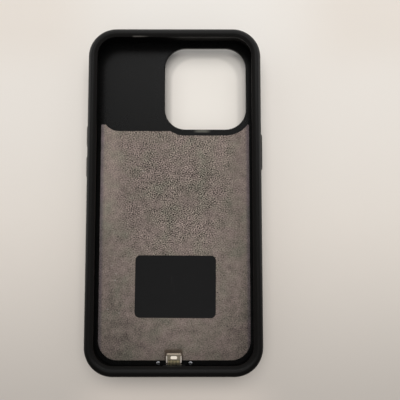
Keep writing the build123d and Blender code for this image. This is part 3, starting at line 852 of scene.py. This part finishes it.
# Inside the case: moulded pieces, board, cell and light guide
moulded = {
    "cloudScale": 0.03,
    "cloudShare": 0.6,
    "cloudDim": 0.75,
    "cloudRough": 0.14,
    "hazeRelief": (0.00001, 0.4),
}
board = {
    "colour": (0.012, 0.085, 0.035),
    "roughness": 0.35,
    "copperColour": (0.03, 0.17, 0.075),
    "tracks": 420.0,
    "trackWidth": (0.06, 0.03),
    "copperShare": 0.6,
    "copperRelief": (0.00002, 0.5),
}
foil = {
    "colour": (0.62, 0.63, 0.65),
    "roughness": 0.30,
    "metallic": 0.85,
    "creaseColour": (0.78, 0.79, 0.80),
    "crease": (160.0, 4.0, 0.6, 0.4),
    "creaseRough": 0.2,
    "creaseRelief": (0.0001, 0.4),
}
guide = {
    "colour": (0.80, 0.82, 0.84),
    "roughness": 0.22,
    "hazeColour": (0.66, 0.69, 0.72),
    "haze": 900.0,
    "hazeRough": 0.15,
}


def mouldedPlastic(name, colour, roughness, grain):
    paint = Finish(name)
    haze = paint.noise(grain)
    cloud = paint.noise(grain * moulded["cloudScale"])
    dark = tuple(part * moulded["cloudDim"] for part in colour)
    tone = paint.blend(cloud * moulded["cloudShare"], colour, dark)
    rough = roughness + (cloud - 0.5) * moulded["cloudRough"]
    bump = paint.relief(haze, *moulded["hazeRelief"])
    return paint.wear(Base_Color=tone, Roughness=rough, Normal=bump)


def boardMask():
    paint = Finish("boardMask")
    copper = paint.ease(paint.cells(board["tracks"], "DISTANCE_TO_EDGE"), *board["trackWidth"])
    tone = paint.blend(copper * board["copperShare"], board["colour"], board["copperColour"])
    bump = paint.relief(copper, *board["copperRelief"])
    return paint.wear(Base_Color=tone, Roughness=board["roughness"], Normal=bump)


def cellFoil():
    paint = Finish("cellFoil")
    crease = paint.noise(*foil["crease"])
    tone = paint.blend(crease, foil["colour"], foil["creaseColour"])
    rough = foil["roughness"] + crease * foil["creaseRough"]
    bump = paint.relief(crease, *foil["creaseRelief"])
    return paint.wear(Base_Color=tone, Roughness=rough, Metallic=foil["metallic"], Normal=bump)


def clearGuide():
    paint = Finish("clearGuide")
    haze = paint.noise(guide["haze"])
    tone = paint.blend(haze, guide["colour"], guide["hazeColour"])
    return paint.wear(Base_Color=tone, Roughness=guide["roughness"] + haze * guide["hazeRough"])


finishes = {
    "bumper_black": bumperRubber(),
    "shell_black": shellPlastic(),
    "suede_grey": suedeNap(),
    "label_black": labelFilm(),
    "screw_steel": brushedMetal("screwSteel", (0.62, 0.63, 0.66), 0.26, 3000.0),
    "plug_metal": plugMetal(),
    "insert_black": mouldedPlastic("insertBlack", (0.012, 0.012, 0.012), 0.45, 3000.0),
    "contact_gold": brushedMetal("contactGold", (0.78, 0.66, 0.38), 0.34, 3400.0),
    "board_green": boardMask(),
    "socket_metal": brushedMetal("socketMetal", (0.60, 0.60, 0.61), 0.30, 2600.0),
    "chip_black": mouldedPlastic("chipBlack", (0.02, 0.02, 0.021), 0.5, 2600.0),
    "coil_grey": mouldedPlastic("coilGrey", (0.10, 0.10, 0.105), 0.6, 2600.0),
    "capacitor_tan": mouldedPlastic("capacitorTan", (0.36, 0.25, 0.15), 0.5, 2600.0),
    "light_clear": clearGuide(),
    "cell_foil": cellFoil(),
    "pad_white": mouldedPlastic("padWhite", (0.75, 0.75, 0.73), 0.8, 1500.0),
    "button_black": mouldedPlastic("buttonBlack", (0.014, 0.014, 0.014), 0.42, 3600.0),
}
for row in frame["record"]["subparts"]:
    solid = nodes[row["node"]]
    solid.data.materials.clear()
    solid.data.materials.append(finishes[row["material_slot"]])
print("finishes are mixed and laid on:", len(finishes))


# Round off a shape's edges in a few steps
def roundEdges(shape, edges, radius, steps):
    settings = {"segments": steps, "profile": 0.5, "affect": "EDGES", "clamp_overlap": True}
    bmesh.ops.bevel(shape, geom=edges, offset=radius, **settings)


# Suede sheet in the CAD lining's place, with its cut edge rolled over
lining = {
    "roll": 0.00022,
    "rollSteps": 4,
    "weld": 1e-6,
    "flatAngle": 0.01,
    "brinkDepth": 1e-5,
    "underside": -0.9,
    "level": 0.999,
}


def makeLining():
    low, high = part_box("suede_lining")
    shape = bmesh.new()
    shape.from_mesh(nodes["suede_lining"].data)
    bmesh.ops.remove_doubles(shape, verts=shape.verts, dist=lining["weld"])
    flat = lining["flatAngle"]
    bmesh.ops.dissolve_limit(shape, angle_limit=flat, verts=shape.verts, edges=shape.edges)
    brink = high.z - lining["brinkDepth"]
    rim = [edge for edge in shape.edges if all(vert.co.z > brink for vert in edge.verts)]
    roundEdges(shape, rim, lining["roll"], lining["rollSteps"])
    area = max(face.calc_area() for face in shape.faces if face.normal.z < lining["underside"])
    for face in shape.faces:
        face.smooth = abs(face.normal.z) < lining["level"]
    sheet = bareObject("suedeSheet", shape)
    sheet.data.materials.append(finishes["suede_grey"])
    stand(sheet, "suede_lining")
    print("lining: area", round(area * 1e6), "mm2")


makeLining()


# Blade of the plug: a stepped nose, round edges, seats for the contacts and a shallow dimple
def bladeOutline():
    nose = plug["tip"] - plug["noseLength"]
    detent = plug["tip"] - plug["detentFromTip"]
    side = [(plug["halfWidth"], plug["root"])]
    for step in range(plug["detentSteps"] + 1):
        angle = math.pi * (1.5 - step / plug["detentSteps"])
        x = plug["halfWidth"] + plug["detentRadius"] * math.cos(angle) * plug["detentFlat"]
        side.append((x, detent + plug["detentRadius"] * math.sin(angle)))
    side.append((plug["halfWidth"], nose))
    side.append((plug["noseHalf"], nose + plug["noseStep"]))
    for step in range(plug["noseSteps"] + 1):
        angle = math.pi / 2 * step / plug["noseSteps"]
        x = plug["noseHalf"] - plug["noseCorner"] * (1 - math.cos(angle))
        side.append((x, plug["tip"] - plug["noseCorner"] * (1 - math.sin(angle))))
    return side + [(-x, y) for x, y in reversed(side)]


def dimpleOutline():
    long, wide = plug["dimpleHalf"]
    outline = []
    for step in range(plug["dimpleSteps"]):
        angle = 2 * math.pi * (step + 0.5) / plug["dimpleSteps"]
        x = math.copysign(long - wide, math.cos(angle)) + wide * math.cos(angle)
        outline.append((x, plug["dimpleCentre"] + wide * math.sin(angle)))
    return outline


def addBlock(shape, outline, low, high):
    floor = [shape.verts.new((x, y, low)) for x, y in outline]
    base = shape.faces.new(list(reversed(floor)))
    raised = bmesh.ops.extrude_face_region(shape, geom=[base], use_keep_orig=True)["geom"]
    lifted = [part for part in raised if isinstance(part, bmesh.types.BMVert)]
    bmesh.ops.translate(shape, verts=lifted, vec=(0, 0, high - low))
    bmesh.ops.recalc_face_normals(shape, faces=shape.faces)


def makeBlade():
    shape = bmesh.new()
    addBlock(shape, bladeOutline(), plug["low"], plug["high"])
    # all edges of the two faces but those at the root
    level = plug["levelWithin"]
    root = plug["root"] + plug["rootWithin"]
    rims = [edge for edge in shape.edges if abs(edge.verts[0].co.z - edge.verts[1].co.z) < level]
    rims = [edge for edge in rims if max(vert.co.y for vert in edge.verts) > root]
    roundEdges(shape, rims, plug["round"], plug["roundSteps"])
    blade = bareObject("plugBlade", shape)
    blade.data.materials.append(finishes["plug_metal"])
    cut = bmesh.new()
    half, back, front, depth = plug["seat"]
    seat = [(-half, back), (half, back), (half, front), (-half, front)]
    above = plug["high"] + plug["cutterReach"]
    below = plug["low"] - plug["cutterReach"]
    addBlock(cut, seat, plug["high"] - depth, above)
    addBlock(cut, seat, below, plug["low"] + depth)
    addBlock(cut, dimpleOutline(), plug["high"] - plug["dimpleDepth"], above)
    cutter = bareObject("bladeCutter", cut)
    carve = blade.modifiers.new("carve", "BOOLEAN")
    carve.operation = "DIFFERENCE"
    carve.solver = "EXACT"
    carve.object = cutter
    plainMesh(blade)
    bpy.data.objects.remove(cutter)
    stand(blade, "plug_blade")


# Rows of gold contacts on both faces of the blade
contacts = {
    "Count": 8,
    "Pitch": 0.00062,
    "Width": 0.00036,
    "Length": 0.0021,
    "Corner": 0.00009,
    "Corner Steps": 3,
    "Thickness": 0.00008,
    "Middle": -0.07115,
    "Upper Face": 0.014575,
    "Lower Face": 0.013075,
    "Weld": 1e-7,
}


def makeContacts():
    maker = Maker("contactRow", contacts)
    thickness = maker.size("Thickness")
    sockets = {"Width": maker.size("Width"), "Height": maker.size("Length")}
    pad = maker.add("CurvePrimitiveQuadrilateral", None, sockets)
    sockets = {"Curve": pad, "Count": maker.size("Corner Steps"), "Radius": maker.size("Corner")}
    pad = maker.add("FilletCurve", {"mode": "POLY"}, sockets)
    face = maker.add("FillCurve", None, {"Curve": pad})
    sockets = {"Mesh": face, "Offset Scale": thickness, "Individual": False}
    lifted = maker.add("ExtrudeMesh", None, sockets)
    under = maker.add("FlipFaces", None, {"Mesh": face})
    sockets = {"Geometry": maker.join(lifted, under), "Distance": maker.size("Weld")}
    pad = maker.add("MergeByDistance", None, sockets)
    first = maker.size("Pitch") * (1 - maker.size("Count")) / 2
    step = maker.point(maker.size("Pitch"), 0.0, 0.0)
    rows = []
    for level in (maker.size("Upper Face") - thickness, maker.size("Lower Face")):
        start = maker.point(first, maker.size("Middle"), level)
        sockets = {"Count": maker.size("Count"), "Start Location": start, "Offset": step}
        rows.append(maker.add("MeshLine", None, sockets))
    placed = maker.add("InstanceOnPoints", None, {"Points": maker.join(*rows), "Instance": pad})
    stand(maker.finish("plugContacts", placed, finishes["contact_gold"]), "plug_contacts")


# Two domed screws with a cross recess, each turned its own way
screws = {
    "Count": 2,
    "Spacing": 0.01426,
    "Row": -0.07245,
    "Seat": 0.0094,
    "Head Radius": 0.00085,
    "Head Sides": 32,
    "Head Rings": 8,
    "Rim": 0.00018,
    "Dome": 0.00022,
    "Shank Radius": 0.00048,
    "Shank Length": 0.0034,
    "Shank Sides": 20,
    "Cross Length": 0.00092,
    "Cross Width": 0.00020,
    "Cross Depth": 0.00020,
    "Weld": 2e-7,
    "Seed": 5,
}


def makeScrews():
    maker = Maker("panelScrew", screws)
    radius = maker.size("Head Radius")
    rim = maker.size("Rim")
    length = maker.size("Shank Length")
    sockets = {
        "Vertices": maker.size("Head Sides"),
        "Fill Segments": maker.size("Head Rings"),
        "Radius": radius,
        "Depth": rim,
    }
    head = maker.add("MeshCylinder", {"fill_type": "TRIANGLE_FAN"}, sockets)
    # the upper face swells to a dome
    maker.locate(maker.add("InputPosition"))
    inside = 1 - (maker.x * maker.x + maker.y * maker.y) / (radius * radius)
    rise = maker.maths("MAXIMUM", inside, 0.0) ** 0.5 * maker.size("Dome")
    rise = rise * maker.maths("GREATER_THAN", maker.z, 0.0)
    head = maker.add("SetPosition", None, {"Geometry": head, "Offset": maker.point(0.0, 0.0, rise)})
    # two crossed bars are cut from it
    bar = maker.point(maker.size("Cross Length"), maker.size("Cross Width"), maker.size("Cross Depth") * 2)
    bar = maker.add("MeshCube", None, {"Size": bar})
    top = maker.point(0.0, 0.0, rim / 2 + maker.size("Dome"))
    bars = [maker.move(bar, top, (0.0, 0.0, turn)) for turn in (0.0, math.pi / 2)]
    settings = {"operation": "DIFFERENCE", "solver": "EXACT"}
    head = maker.add("MeshBoolean", settings, {"Mesh 1": head, "Mesh 2": bars})
    head = maker.add("MergeByDistance", None, {"Geometry": head, "Distance": maker.size("Weld")})
    sockets = {"Vertices": maker.size("Shank Sides"), "Radius": maker.size("Shank Radius"), "Depth": length}
    shank = maker.add("MeshCylinder", None, sockets)
    screw = maker.join(head, maker.move(shank, maker.point(0.0, 0.0, (rim + length) * -0.5)))
    start = maker.point(maker.size("Spacing") * -0.5, maker.size("Row"), maker.size("Seat") + rim / 2)
    step = maker.point(maker.size("Spacing"), 0.0, 0.0)
    sockets = {"Count": maker.size("Count"), "Start Location": start, "Offset": step}
    row = maker.add("MeshLine", None, sockets)
    sockets = {2: 0.0, 3: math.pi / 2, "Seed": maker.size("Seed")}
    turn = maker.add("FunctionNodeRandomValue", {"data_type": "FLOAT"}, sockets, 1)
    turn = maker.add("FunctionNodeEulerToRotation", None, {"Euler": maker.point(0.0, 0.0, turn)})
    placed = maker.add("InstanceOnPoints", None, {"Points": row, "Instance": screw, "Rotation": turn})
    stand(maker.finish("panelScrews", placed, finishes["screw_steel"]), "panel_screws")


makeBlade()
makeContacts()
makeScrews()
